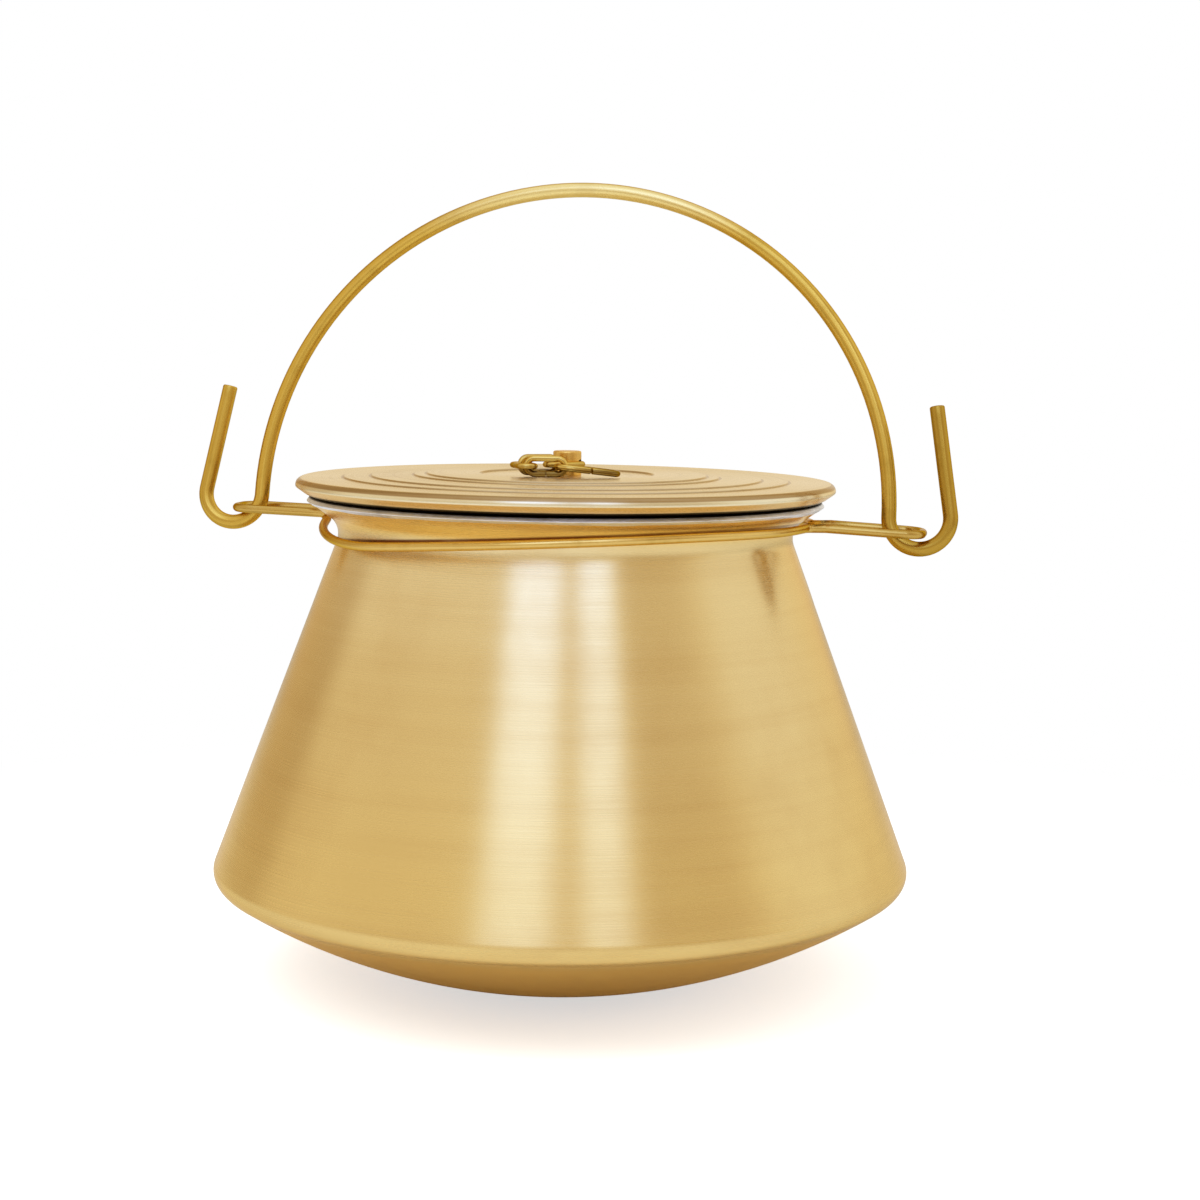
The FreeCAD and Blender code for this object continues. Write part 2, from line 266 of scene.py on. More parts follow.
class StudioSettings(bpy.types.PropertyGroup):
    """Camera, floor and light."""

    azimuth: angle("Azimuth", 10, "Camera's turn round the pot from its front")
    distance: length("Distance", 831.3 * mm, "Camera's level distance from the pot's axis")
    aside: length("Aside", 35.1 * mm, "How far the camera stands to the right of the axis")
    height: length("Height", 239.1 * mm, "Camera's height over the floor")
    pitch: angle("Pitch", 5.54, "How far the camera looks down")
    roll: angle("Roll", 0.935, "How far the camera is rolled")
    focal: bpy.props.FloatProperty(
        name="Focal length", description="Lens for a 36 mm sensor", default=67.02, unit="CAMERA"
    )
    shift: bpy.props.FloatVectorProperty(
        name="Shift", description="Shift of the lens to the right and up, as a share of the frame",
        default=(-0.05, -0.0371), size=2,
    )
    floor_radius: length("Floor radius", 4.0, "Radius of the floor")
    floor_shade: share("Floor shade", 0.80, "Grey of the floor in plain light")


class PotSettings(bpy.types.PropertyGroup):
    """All settings of the pot."""

    pot: bpy.props.PointerProperty(type=PotSizes)
    lid: bpy.props.PointerProperty(type=LidSizes)
    wire: bpy.props.PointerProperty(type=WireSizes)
    bail: bpy.props.PointerProperty(type=BailSizes)
    chain: bpy.props.PointerProperty(type=ChainSizes)
    finish: bpy.props.PointerProperty(type=Finishes)
    studio: bpy.props.PointerProperty(type=StudioSettings)


# Lines and meshes

def flat_point(radius, height):
    return Vector((radius, 0, height))


def left_of(way):
    return Vector((-way.z, 0, way.x))


def swing(centre, start, finish, step=fine_turn):
    """Points on the arc about centre from start to finish, both included."""
    first = start - centre
    last = finish - centre
    turn = first.angle(last)
    pivot = first.cross(last).normalized()
    count = max(2, math.ceil(turn / step))
    return [centre + Matrix.Rotation(turn * i / count, 3, pivot) @ first for i in range(count + 1)]


def rounded(points, bends):
    """Points along a line through points, each inner corner turned to its radius in bends."""
    line = [points[0]]
    for before, corner, after, bend in zip(points, points[1:], points[2:], bends):
        back = (before - corner).normalized()
        ahead = (after - corner).normalized()
        half = back.angle(ahead) / 2
        trim = bend / math.tan(half)
        centre = corner + (back + ahead).normalized() * (bend / math.sin(half))
        line += swing(centre, corner + back * trim, corner + ahead * trim)
    line.append(points[-1])
    return line


def spread(line, gap):
    """The same line with points added so that none is further than gap from the next."""
    out = [line[0]]
    for a, b in zip(line, line[1:]):
        count = max(1, math.ceil((b - a).length / gap))
        out += [a.lerp(b, (i + 1) / count) for i in range(count)]
    return out


def mesh_piece(name, verts, faces, grain, material):
    """Object from a closed mesh, with the grain direction of each point kept for its material."""
    mesh = bpy.data.meshes.new(name)
    mesh.from_pydata(verts, [], faces)
    shell = bmesh.new()
    shell.from_mesh(mesh)
    bmesh.ops.recalc_face_normals(shell, faces=shell.faces)
    shell.to_mesh(mesh)
    shell.free()
    layer = mesh.attributes.new("grain", "FLOAT_VECTOR", "POINT")
    layer.data.foreach_set("vector", [number for way in grain for number in way])
    mesh.shade_smooth()
    mesh.set_sharp_from_angle(angle=crease_angle)
    mesh.materials.append(material)
    piece = bpy.data.objects.new(name, mesh)
    bpy.context.scene.collection.objects.link(piece)
    return piece


def spun(name, outline, material, closed=False, turns=256, uneven=None):
    """Piece turned round the Z axis from an outline of (radius, 0, height) points.

    An open outline starts and ends on the axis. uneven gives what an outline point moves by at an angle.
    """
    verts = []
    grain = []
    rings = []
    run = 0.0
    for index, point in enumerate(outline):
        run += (point - outline[index - 1]).length if index else 0.0
        if point.x < 1e-7:
            rings.append([len(verts)] * turns)
            verts.append((0, 0, point.z))
            grain.append((0, 0, run))
            continue
        rings.append(range(len(verts), len(verts) + turns))
        for k in range(turns):
            turn = 2 * math.pi * k / turns
            moved = point + uneven(index, turn) if uneven else point
            verts.append((moved.x * math.cos(turn), moved.x * math.sin(turn), moved.z))
            grain.append((math.cos(turn), math.sin(turn), run))
    faces = []
    pairs = list(zip(rings, rings[1:])) + ([(rings[-1], rings[0])] if closed else [])
    for low, high in pairs:
        for k in range(turns):
            after = (k + 1) % turns
            corners = [low[k], low[after], high[after], high[k]]
            faces.append(list(dict.fromkeys(corners)))
    return mesh_piece(name, verts, faces, grain, material)


def drawn(name, line, radius, material, sides, cut):
    """Rod or wire along a line of points, its ends cut square and their edges rubbed round by cut."""
    ways = [(b - a).normalized() for a, b in zip([line[0]] + line[:-1], line[1:] + [line[-1]])]
    side = ways[0].orthogonal().normalized()
    stations = []
    run = 0.0
    for index, (point, way) in enumerate(zip(line, ways)):
        if index:
            side = ways[index - 1].rotation_difference(way) @ side
            side = (side - way * side.dot(way)).normalized()
            run += (point - line[index - 1]).length
        stations.append((point, way, side, radius, run))
    edge = [(1 - math.cos(turn), 1 - math.sin(turn)) for turn in (0, math.pi / 6, math.pi / 3, math.pi / 2)]
    first = stations[0]
    last = stations[-1]
    start = [(first[0] + first[1] * cut * a, *first[1:3], radius - cut * b, first[4]) for a, b in edge]
    end = [(last[0] - last[1] * cut * a, *last[1:3], radius - cut * b, last[4]) for a, b in edge]
    stations = start + stations[1:-1] + end[::-1]
    verts = []
    grain = []
    for point, way, side, wide, run in stations:
        other = way.cross(side)
        for k in range(sides):
            turn = 2 * math.pi * k / sides
            verts.append(point + (side * math.cos(turn) + other * math.sin(turn)) * wide)
            grain.append((math.cos(turn), math.sin(turn), run))
    faces = []
    for row in range(len(stations) - 1):
        for k in range(sides):
            after = (k + 1) % sides
            low = row * sides
            high = low + sides
            faces.append((low + k, low + after, high + after, high + k))
    faces.append(tuple(range(sides)))
    faces.append(tuple(range(len(verts) - sides, len(verts))))
    return mesh_piece(name, verts, faces, grain, material)


def place(piece, body, slot, *nodes):
    """Puts a finished piece on its body in place of its CAD nodes, which it hides; slot is not used."""
    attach(piece, body)
    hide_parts(*nodes)
    return piece


# Shader nodes written as expressions

class Value:
    """A number on a socket. Arithmetic on it adds Math nodes."""

    def __init__(self, graph, socket):
        self.graph = graph
        self.socket = socket

    def __add__(self, other):
        return self.graph.math("ADD", self, other)

    def __sub__(self, other):
        return self.graph.math("SUBTRACT", self, other)

    def __rsub__(self, other):
        return self.graph.math("SUBTRACT", other, self)

    def __mul__(self, other):
        return self.graph.math("MULTIPLY", self, other)

    def __pow__(self, other):
        return self.graph.math("POWER", self, other)

    __radd__ = __add__
    __rmul__ = __mul__

    def rise(self, low, high):
        """0 below low, 1 above high, and smooth between."""
        settings = {"interpolation_type": "SMOOTHSTEP"}
        node = self.graph.node("ShaderNodeMapRange", settings, {0: self, 1: low, 2: high})
        return Value(self.graph, node.outputs[0])

    def window(self, centre, half, soft):
        """1 within half of centre, falling to 0 over soft on either side."""
        away = self.graph.math("ABSOLUTE", self - centre)
        return 1 - away.rise(half, half + soft)


class Graph:
    """A node tree that is cleared and then written from the top down."""

    def __init__(self, tree):
        self.tree = tree
        tree.nodes.clear()

    def node(self, kind, settings=None, inputs=None):
        """Adds a node. Its settings are set first, then its sockets are given values or links."""
        made = self.tree.nodes.new(kind)
        for name, value in (settings or {}).items():
            if name == "stops":
                self.set_stops(made.color_ramp.elements, value)
            else:
                setattr(made, name, value)
        for key, value in (inputs or {}).items():
            source = value.socket if isinstance(value, Value) else value
            if isinstance(source, bpy.types.NodeSocket):
                self.tree.links.new(source, made.inputs[key])
            else:
                made.inputs[key].default_value = source
        return made

    def set_stops(self, elements, stops):
        while len(elements) < len(stops):
            elements.new(1.0)
        for element, (position, shade) in zip(elements, stops):
            element.position = position
            element.color = (*shade, 1.0)

    def math(self, operation, *terms):
        node = self.node("ShaderNodeMath", {"operation": operation}, dict(enumerate(terms)))
        return Value(self, node.outputs[0])

    def mix(self, factor, first, second):
        """Colour that goes from first to second with factor."""
        shades = [(*s, 1.0) if not isinstance(s, bpy.types.NodeSocket) else s for s in (first, second)]
        node = self.node("ShaderNodeMix", {"data_type": "RGBA"}, {0: factor, 6: shades[0], 7: shades[1]})
        return node.outputs[2]

    def noise(self, vector, scales, detail, rough):
        """Noise over a vector, each part of which is first multiplied by its own scale."""
        scaled = self.node("ShaderNodeVectorMath", {"operation": "MULTIPLY"}, {0: vector, 1: scales})
        inputs = {"Vector": scaled.outputs[0], "Scale": 1.0, "Detail": detail, "Roughness": rough}
        return Value(self, self.node("ShaderNodeTexNoise", None, inputs).outputs[0])

    def grain(self):
        """Direction round the grain as cosine and sine, and the run along it in metres."""
        return self.node("ShaderNodeAttribute", {"attribute_name": "grain"}).outputs["Vector"]

    def position(self):
        return self.node("ShaderNodeTexCoord").outputs["Object"]

    def part(self, vector, index):
        node = self.node("ShaderNodeSeparateXYZ", None, {0: vector})
        return Value(self, node.outputs[index])

    def away(self, spot):
        """Distance of a spot from the pot's axis."""
        return self.math("SQRT", self.part(spot, 0) ** 2.0 + self.part(spot, 1) ** 2.0)


# Tints of the metals where they are seen at a flat angle
spun_tint = (1.0, 0.86, 0.62, 1.0)
drawn_tint = (0.75, 0.55, 0.25, 1.0)
tin_tint = (1.0, 1.0, 1.0, 1.0)


def metal(graph, base, rough, height, depth, tint, stretch=0.0):
    """Metal surface from a colour, a roughness and a bump height in metres of depth.

    stretch spreads the shine across the lines that run round a spun piece.
    """
    bump = graph.node("ShaderNodeBump", None, {"Strength": 1.0, "Distance": depth, "Height": height})
    shader = graph.node("ShaderNodeBsdfPrincipled", None, {
        "Base Color": base,
        "Metallic": 1.0,
        "Roughness": rough,
        "Normal": bump.outputs[0],
        "Anisotropic": stretch,
        "Anisotropic Rotation": 0.25 if stretch else 0.0,
        "Specular Tint": tint,
    })
    graph.node("ShaderNodeOutputMaterial", None, {"Surface": shader.outputs[0]})


def new_material(name):
    material = bpy.data.materials.new(name)
    material.use_nodes = True
    return material, Graph(material.node_tree)


def new_metal(name):
    """A new material with its graph, the grain of the piece and the spot on it in the pot's frame."""
    material, g = new_material(name)
    return material, g, g.grain(), g.position()


# Finishes

def pot_brass(finish, sizes, wire):
    """Spun brass: fine lines round the pot, broader bands from the tool and tarnish, with painted light:
    paler high, deeper gold low, a darker dome, a brighter flare and the wire's shadow on the neck.
    """
    material, g, grain, spot = new_metal("pot_brass")
    lines = g.noise(grain, (2.0, 2.0, 2600.0), 3.0, 0.6)
    bands = g.noise(grain, (0.8, 0.8, 170.0), 2.0, 0.5)
    cloud = g.noise(spot, (16.0, 16.0, 9.0), 4.0, 0.6)
    height = g.part(spot, 2)
    below = 1 - height.rise(sizes.shoulder_height - 7 * mm, sizes.shoulder_height - 2 * mm)
    crease = height.window(sizes.shoulder_height - 1.5 * mm, 0.8 * mm, 1.6 * mm)
    tarnish = (cloud.rise(0.42, 0.75) * 0.35 + bands.rise(0.35, 0.8) * 0.18) * (1 - crease)
    # Painted light by height: deeper gold toward the bottom of the cone, paler toward the top as a painted
    # sheen, less so on the right as painted shade.
    lower = 1 - height.rise(50 * mm, 120 * mm)
    upper = height.rise(110 * mm, 165 * mm)
    right = g.part(spot, 0).rise(20 * mm, 45 * mm)
    flared = height.rise(sizes.neck_height - 1 * mm, sizes.neck_height + 2 * mm)
    brass = g.mix(lower * 0.45, finish.pot, finish.pot_low_shade)
    brass = g.mix(upper * (0.45 - right * 0.4), brass, finish.pot_top_sheen)
    brass = g.mix(tarnish, brass, finish.pot_shade)
    # Painted shade: darker brass on the dome below the shoulder.
    brass = g.mix(below * 0.75, brass, finish.dome)
    # Painted sheen: brighter gold on the flared rim.
    brass = g.mix(flared * 0.8, brass, finish.flare)
    # Painted shadow of the wire on the neck: a red-brown band just above the tilted ring, in cloudy patches.
    lean = g.part(spot, 0) * math.tan(wire.ring_side_tilt) - g.part(spot, 1) * math.tan(wire.ring_tilt)
    beside = (height - lean - wire.ring_centre[2]).window(1.0 * mm, 0.7 * mm, 0.9 * mm)
    brass = g.mix(beside * cloud.rise(0.1, 0.5), brass, finish.stain)
    rough = 0.27 + (lines - 0.5) * 0.16 + (cloud - 0.5) * 0.10 + below * 0.05 - crease * 0.08
    metal(g, brass, rough, lines + bands * 3.0, 0.012 * mm, spun_tint, stretch=0.75)
    return material


def lid_brass(finish, sizes):
    """Pale spun brass with turned lines round it and brown left in the corners of the steps, and painted
    shade: a brown band where the top rounds over, deeper gold on the bevel and black on the turned-under lip.
    """
    material, g, grain, spot = new_metal("lid_brass")
    lines = g.noise(grain, (1.5, 1.5, 3200.0), 3.0, 0.6)
    bands = g.noise(grain, (0.6, 0.6, 420.0), 2.0, 0.5)
    cloud = g.noise(spot, (22.0, 22.0, 22.0), 4.0, 0.6)
    away = g.away(spot)
    below = sizes.top - g.part(spot, 2)
    line_half = 0.3 * mm
    line_soft = 0.5 * mm
    # Painted dark reflection: a brown band where the top starts to round over the edge.
    turned = below.rise(0.06 * mm, 0.25 * mm) * (1 - below.rise(1.35 * mm, 1.9 * mm)) * 1.25
    turned = turned + away.window(sizes.well_radius, line_half, line_soft)
    for radius in sizes.step_radii:
        turned = turned + away.window(radius + 0.1 * mm, line_half, line_soft)
    brown = turned * 0.7 + cloud.rise(0.5, 0.8) * 0.25 + bands.rise(0.55, 0.8) * 0.25
    drop = sizes.top - sizes.fold
    # Painted shade: deeper gold from the bottom of the nose down the bevel; the nose is left pale as a
    # painted highlight.
    bevel_shade = below.rise(3.0 * mm, 3.5 * mm)
    lip_gap_shade = below.rise(drop - 0.3 * mm, drop)
    brass = g.mix(bevel_shade, finish.lid, finish.lid_bevel_shade)
    brass = g.mix(g.math("MINIMUM", brown, 0.9), brass, finish.lid_lines_and_edge_shade)
    # Painted shade: black on the turned-under lip, in the gap over the rim.
    brass = g.mix(lip_gap_shade, brass, finish.gap_shade)
    rough = 0.26 + (lines - 0.5) * 0.15 + (cloud - 0.5) * 0.12
    metal(g, brass, rough, lines + bands * 2.0, 0.012 * mm, spun_tint, stretch=0.6)
    return material


def drawn_brass(name, base, shade, painted_light, streak, rough_mid, patches=70.0):
    """Drawn brass: streaks along the rod, a dull shine, tarnish in patches, and the painted light and shade
    that the given function adds.
    """
    material, g, grain, spot = new_metal(name)
    streaks = g.noise(grain, (3.2, 3.2, 9.0), 4.0, 0.6)
    scratches = g.noise(grain, (14.0, 14.0, 60.0), 2.0, 0.6)
    cloud = g.noise(spot, (patches,) * 3, 4.0, 0.65)
    stain = streaks.rise(0.45, 0.75) * streak + cloud.rise(0.5, 0.8) * 0.4
    # The given function adds painted light and shade to the colour and the tarnish.
    base, stain = painted_light(g, spot, base, stain)
    brass = g.mix(g.math("MINIMUM", stain, 0.9), base, shade)
    rough = rough_mid + (streaks - 0.5) * 0.16 + (scratches - 0.5) * 0.10 + (cloud - 0.5) * 0.12
    metal(g, brass, rough, scratches + streaks * 2.0, 0.02 * mm, drawn_tint)
    return material


def wire_eye_shade(g, spot, base, stain):
    """Painted shade: the eyes of the neck wire are browner than the part round the neck."""
    outer = g.math("ABSOLUTE", g.part(spot, 0)).rise(88 * mm, 98 * mm)
    return base, stain + outer * 0.5


def chain_underside_shade(g, spot, base, stain):
    """Painted shade: the undersides of the links are dark."""
    under_shade = 1 - g.part(spot, 2).rise(190.8 * mm, 192.6 * mm)
    return base, stain + under_shade * 0.7


def bail_sheen_and_shade(finish):
    """Painted light on the bail: a painted highlight makes its crown paler, and painted shade makes its right
    hook browner.
    """
    def painted_light(g, spot, base, stain):
        crown = g.part(spot, 2).rise(275 * mm, 296 * mm)
        right = g.part(spot, 0).rise(110 * mm, 130 * mm)
        return g.mix(crown, base, finish.crown), stain * (1 - crown * 0.6) + right * 0.7
    return painted_light


def peg_brass(finish):
    """Turned brass of the peg and washer, with streaks down its side."""
    material, g, grain, spot = new_metal("peg_brass")
    streaks = g.noise(grain, (7.0, 7.0, 60.0), 3.0, 0.6)
    cloud = g.noise(spot, (320.0, 320.0, 120.0), 3.0, 0.6)
    stain = streaks.rise(0.4, 0.75) * 0.55 + cloud.rise(0.5, 0.8) * 0.3
    brass = g.mix(stain, finish.peg, finish.rod_tarnish_and_shade)
    rough = 0.26 + (streaks - 0.5) * 0.2
    metal(g, brass, rough, streaks, 0.03 * mm, spun_tint)
    return material


def wiped_tin(finish, sizes):
    """Hot-wiped tin: dull grey, smeared round the rim, with small pits, and painted black shade in the gap
    under the lid.
    """
    material, g, grain, spot = new_metal("wiped_tin")
    smears = g.noise(grain, (5.0, 5.0, 300.0), 4.0, 0.65)
    cloud = g.noise(spot, (45.0, 45.0, 45.0), 5.0, 0.65)
    pits = g.noise(spot, (900.0, 900.0, 900.0), 2.0, 0.5)
    dark = smears.rise(0.45, 0.7) * 0.5 + cloud.rise(0.5, 0.75) * 0.4
    tin = g.mix(dark, finish.tin, finish.tin_shade)
    # Painted shade: the tin's top edge in the gap under the lid is painted black.
    gap = g.part(spot, 2).rise(sizes.rim_height + 1.05 * mm, sizes.rim_height + 1.25 * mm)
    tin = g.mix(gap, tin, finish.gap_shade)
    rough = 0.36 + (cloud - 0.5) * 0.25 + (pits - 0.5) * 0.15
    metal(g, tin, rough, cloud * 2.0 + pits, 0.05 * mm, tin_tint)
    return material


# Outlines and lines of the pieces

def pot_outline(sizes, inset, extra=0.0):
    """Pot outline moved inwards by inset, from the axis to the rim, with the rim carried on by extra."""
    shoulder = flat_point(sizes.shoulder_radius, sizes.shoulder_height)
    neck = flat_point(sizes.neck_radius, sizes.neck_height)
    rim = flat_point(sizes.rim_radius, sizes.rim_height)
    cone = (neck - shoulder).normalized()
    flare = (rim - neck).normalized()
    cone_in = left_of(cone)
    flare_in = left_of(flare)
    dome_centre = up * ((shoulder.length_squared - sizes.rest_radius ** 2) / (2 * shoulder.z))
    dome_radius = math.hypot(sizes.rest_radius, dome_centre.z)
    reach = shoulder + cone_in * sizes.shoulder_bend - dome_centre
    along = reach.dot(cone)
    inner = dome_radius - sizes.shoulder_bend
    slide = -along - math.sqrt(along ** 2 - reach.length_squared + inner ** 2)
    bend_centre = dome_centre + reach + cone * slide
    away = (bend_centre - dome_centre).normalized()
    opening = (-cone).angle(flare) / 2
    neck_centre = neck + (flare - cone).normalized() * (sizes.neck_bend / math.sin(opening))
    flat = flat_point(math.sqrt((dome_radius - inset) ** 2 - (dome_centre.z - inset) ** 2), inset)
    bend = sizes.shoulder_bend - inset
    throat = sizes.neck_bend + inset
    line = [up * inset]
    line += swing(dome_centre, flat, dome_centre + away * (dome_radius - inset), dome_turn)
    line += swing(bend_centre, bend_centre + away * bend, bend_centre - cone_in * bend)[1:]
    line += swing(neck_centre, neck_centre + cone_in * throat, neck_centre + flare_in * throat)
    line.append(rim + flare_in * inset + flare * extra)
    return spread(line, long_edge), flare, flare_in


def spun_waver(turn):
    """Slow in and out of a spun surface round one turn, from -1 to 1."""
    return (math.sin(2 * turn + 0.7) + 0.5 * math.sin(3 * turn + 2.1) + 0.3 * math.sin(5 * turn)) / 1.8


def lid_outline(sizes):
    """Closed outline of the lid: top from the edge inwards, then the underside back out to the edge."""
    level = sizes.top
    top = [flat_point(sizes.radius - sizes.roll, level)]
    for radius in sizes.step_radii:
        top += [flat_point(radius, level), flat_point(radius - sizes.step, level + sizes.step)]
        level += sizes.step
    top.append(flat_point(sizes.well_radius + sizes.well_drop, level))
    level -= sizes.well_drop
    top.append(flat_point(sizes.well_radius, level))
    top.append(flat_point(sizes.tail_radius + sizes.tail_gap, level))
    under = [p - up * sizes.sheet for p in top]
    roll_centre = flat_point(sizes.radius - sizes.roll, sizes.top - sizes.roll)
    side = flat_point(sizes.radius, roll_centre.z)
    fold = flat_point(sizes.radius - sizes.bevel, sizes.fold)
    lip = flat_point(sizes.lip_radius, sizes.lip)
    nose = flat_point(sizes.radius, sizes.nose)
    outer = rounded([side, nose, fold, lip], [sizes.nose_bend, sizes.fold_bend])
    inner = [lip + up * sizes.sheet, fold + up * sizes.sheet, side - flat_point(sizes.sheet, 0)]
    outline = swing(roll_centre, side, top[0])
    bends = [sizes.step_bend] * (len(top) - 2)
    outline += rounded(top, bends)[1:]
    outline += rounded(under[::-1], bends)
    outline += swing(roll_centre, under[0], inner[-1])[1:]
    outline += inner[-2::-1] + outer[:0:-1]
    return spread(outline, lid_long_edge), level


def peg_outline(sizes, floor):
    """Outline of the peg from the end of its spread tail up to its crown, on the axis at both ends."""
    washer_low = washer_box[0].z
    head = sizes.tail_head_height
    corners = [
        up * (washer_low - head),
        flat_point(sizes.tail_head - head, washer_low - head),
        flat_point(sizes.tail_head, washer_low),
        flat_point(sizes.tail_radius, washer_low),
        flat_point(sizes.tail_radius, floor),
        flat_point(sizes.peg_radius, floor),
        flat_point(sizes.peg_radius, floor + sizes.peg_height),
        up * (floor + sizes.peg_height),
    ]
    bends = [0.3 * mm, 0.1 * mm, 0.1 * mm, 0.05 * mm, 0.15 * mm, 0.7 * mm]
    return spread(rounded(corners, bends), peg_long_edge)


def neck_wire_line(sizes):
    """Line of the neck wire from its end at the back, round both eyes, to its other end."""
    lean = Matrix.Rotation(-sizes.ring_side_tilt, 3, "Y") @ Matrix.Rotation(-sizes.ring_tilt, 3, "X")
    centre = Vector(sizes.ring_centre)
    lead = math.asin((sizes.eye_half_width + sizes.eye_lead) / sizes.ring_radius)
    reach = sizes.eye_sweep
    handle = sizes.ring_radius * math.tan((reach - lead) / 4) * 4 / 3

    def ring_point(turn):
        return centre + lean @ Vector((math.cos(turn), math.sin(turn), 0)) * sizes.ring_radius

    def ring_way(turn):
        return lean @ Vector((math.sin(turn), -math.cos(turn), 0))

    def ring_arc(start, finish):
        count = math.ceil(abs(finish - start) / ring_turn)
        return [ring_point(start + (finish - start) * i / count) for i in range(count + 1)]

    def lifted(turn, run, lift):
        point = ring_point(turn) + ring_way(turn) * run
        return point + up * ((sizes.eye_root_level - point.z) * lift)

    def sweep(start, start_way, end, end_way, count=24):
        near = start + start_way * handle
        far = end - end_way * handle
        shares = [i / count for i in range(count + 1)]
        weights = [((1 - s) ** 3, 3 * s * (1 - s) ** 2, 3 * s * s * (1 - s), s ** 3) for s in shares]
        return [start * a + near * b + far * c + end * d for a, b, c, d in weights]

    def eye(side, middle):
        into = [lifted(middle + lead, 0, sizes.lead_start_lift)]
        into += [lifted(middle + lead, sizes.eye_lead, sizes.lead_end_lift)]
        out = [lifted(middle - lead, -sizes.eye_lead, sizes.lead_end_lift)]
        out += [lifted(middle - lead, 0, sizes.lead_start_lift)]
        root = Vector((side * sizes.eye_root + sizes.eye_root_shift, 0, sizes.eye_root_level))
        tip_level = sizes.eye_tip_level - side * sizes.eye_slope
        tip = Vector((side * sizes.eye_tip + sizes.eye_tip_shift, 0, tip_level))
        across = Vector((0, side * sizes.eye_half_width, 0))
        points = into + [root + across, tip + across, tip - across, root - across] + out
        half = [sizes.lead_bend, sizes.root_bend, sizes.tip_bend]
        enter = middle + reach
        leave = middle - reach
        line = sweep(ring_point(enter), ring_way(enter), into[0], (into[1] - into[0]).normalized())
        line += rounded(points, half + half[::-1])[1:]
        line += sweep(out[1], (out[1] - out[0]).normalized(), ring_point(leave), ring_way(leave))[1:]
        return line

    back = math.pi / 2
    line = ring_arc(back - sizes.ring_gap, reach)
    line += eye(1, 0)[1:]
    line += ring_arc(-reach, reach - math.pi)[1:]
    line += eye(-1, -math.pi)[1:]
    line += ring_arc(-reach - math.pi, sizes.ring_gap - 3 * back)[1:]
    return line


def bail_line(sizes):
    """Line of the bail from one free leg, over the half circle, to the other."""
    lean = sizes.hook_lean
    crown = up * sizes.centre

    def hook(side):
        middle = Vector((side * (sizes.radius + sizes.hook_radius), 0, sizes.centre))
        foot = middle + Vector((side * math.cos(lean), 0, math.sin(lean))) * sizes.hook_radius
        tip = foot + Vector((-side * math.sin(lean), 0, math.cos(lean))) * sizes.hook_leg
        bottom = middle - up * sizes.hook_radius
        inner = Vector((side * sizes.radius, 0, sizes.centre))
        return [tip] + swing(middle, foot, bottom) + swing(middle, bottom, inner)[1:]

    top = crown + up * sizes.radius
    left = hook(-1)
    right = hook(1)
    arch = swing(crown, left[-1], top, arch_turn)[1:] + swing(crown, top, right[-1], arch_turn)[1:-1]
    pivot = up * sizes.pivot
    hang = Matrix.Rotation(sizes.tilt, 3, "Y") @ Matrix.Rotation(-sizes.lean, 3, "X")
    return [pivot + hang @ (point - pivot) for point in spread(left + arch + right[::-1], long_edge)]


def link_line(origin, ahead, across, corners, bends, seam):
    """Line of a bent link round corners given as (ahead, across), its ends in the middle of one side."""
    points = [origin + ahead * u + across * v for u, v in corners]
    side = (points[0] - points[-1]).normalized()
    joint = (points[0] + points[-1]) / 2
    return rounded([joint + side * (seam / 2)] + points + [joint - side * (seam / 2)], bends)


def oval(half_long, half_wide):
    """Corners of a link, with the radius that rounds its ends."""
    far = [(half_long, -half_wide), (half_long, half_wide)]
    near = [(-half_long, half_wide), (-half_long, -half_wide)]
    return far + near, [half_wide * 0.97] * 4


def cut_hole(piece, centre, way, radius, reach):
    """Cuts a round hole through a piece along way, and gives it the finished mesh."""
    tool = bpy.data.meshes.new("hole")
    shell = bmesh.new()
    turn = up.rotation_difference(way).to_matrix().to_4x4()
    bmesh.ops.create_cone(
        shell, cap_ends=True, segments=48, radius1=radius, radius2=radius, depth=reach,
        matrix=Matrix.Translation(centre) @ turn,
    )
    shell.to_mesh(tool)
    shell.free()
    cutter = bpy.data.objects.new("hole", tool)
    bpy.context.scene.collection.objects.link(cutter)
    step = piece.modifiers.new("hole", "BOOLEAN")
    step.object = cutter
    step.solver = "EXACT"
    ready = piece.evaluated_get(bpy.context.evaluated_depsgraph_get())
    mesh = bpy.data.meshes.new_from_object(ready)
    piece.modifiers.clear()
    piece.data = mesh
    mesh.set_sharp_from_angle(angle=crease_angle)
    bpy.data.objects.remove(cutter)


# Operators

class BAILPOT_OT_spin_pot(bpy.types.Operator):
    """Spin the pot body with its dome, shoulder, cone, neck and flared rim"""

    bl_idname = "bailpot.spin_pot"
    bl_label = "Spin pot"
    bl_options = {"REGISTER", "UNDO"}

    def execute(self, context):
        settings = context.scene.bail_pot
        sizes = settings.pot
        outer = pot_outline(sizes, 0.0)[0]
        inner = pot_outline(sizes, sizes.sheet)[0]

        def uneven(index, turn):
            high = index / len(outer)
            waver = 1 + spun_waver(turn + 2 * high)
            on_wall = 0.1 < high < 0.8
            return flat_point(-sizes.waver * waver, 0) if on_wall else Vector()

        material = pot_brass(settings.finish, sizes, settings.wire)
        piece = spun("spun_pot", outer + inner[::-1], material, uneven=uneven)
        place(piece, "pot", "pot_brass", "pot_body")
        return {"FINISHED"}


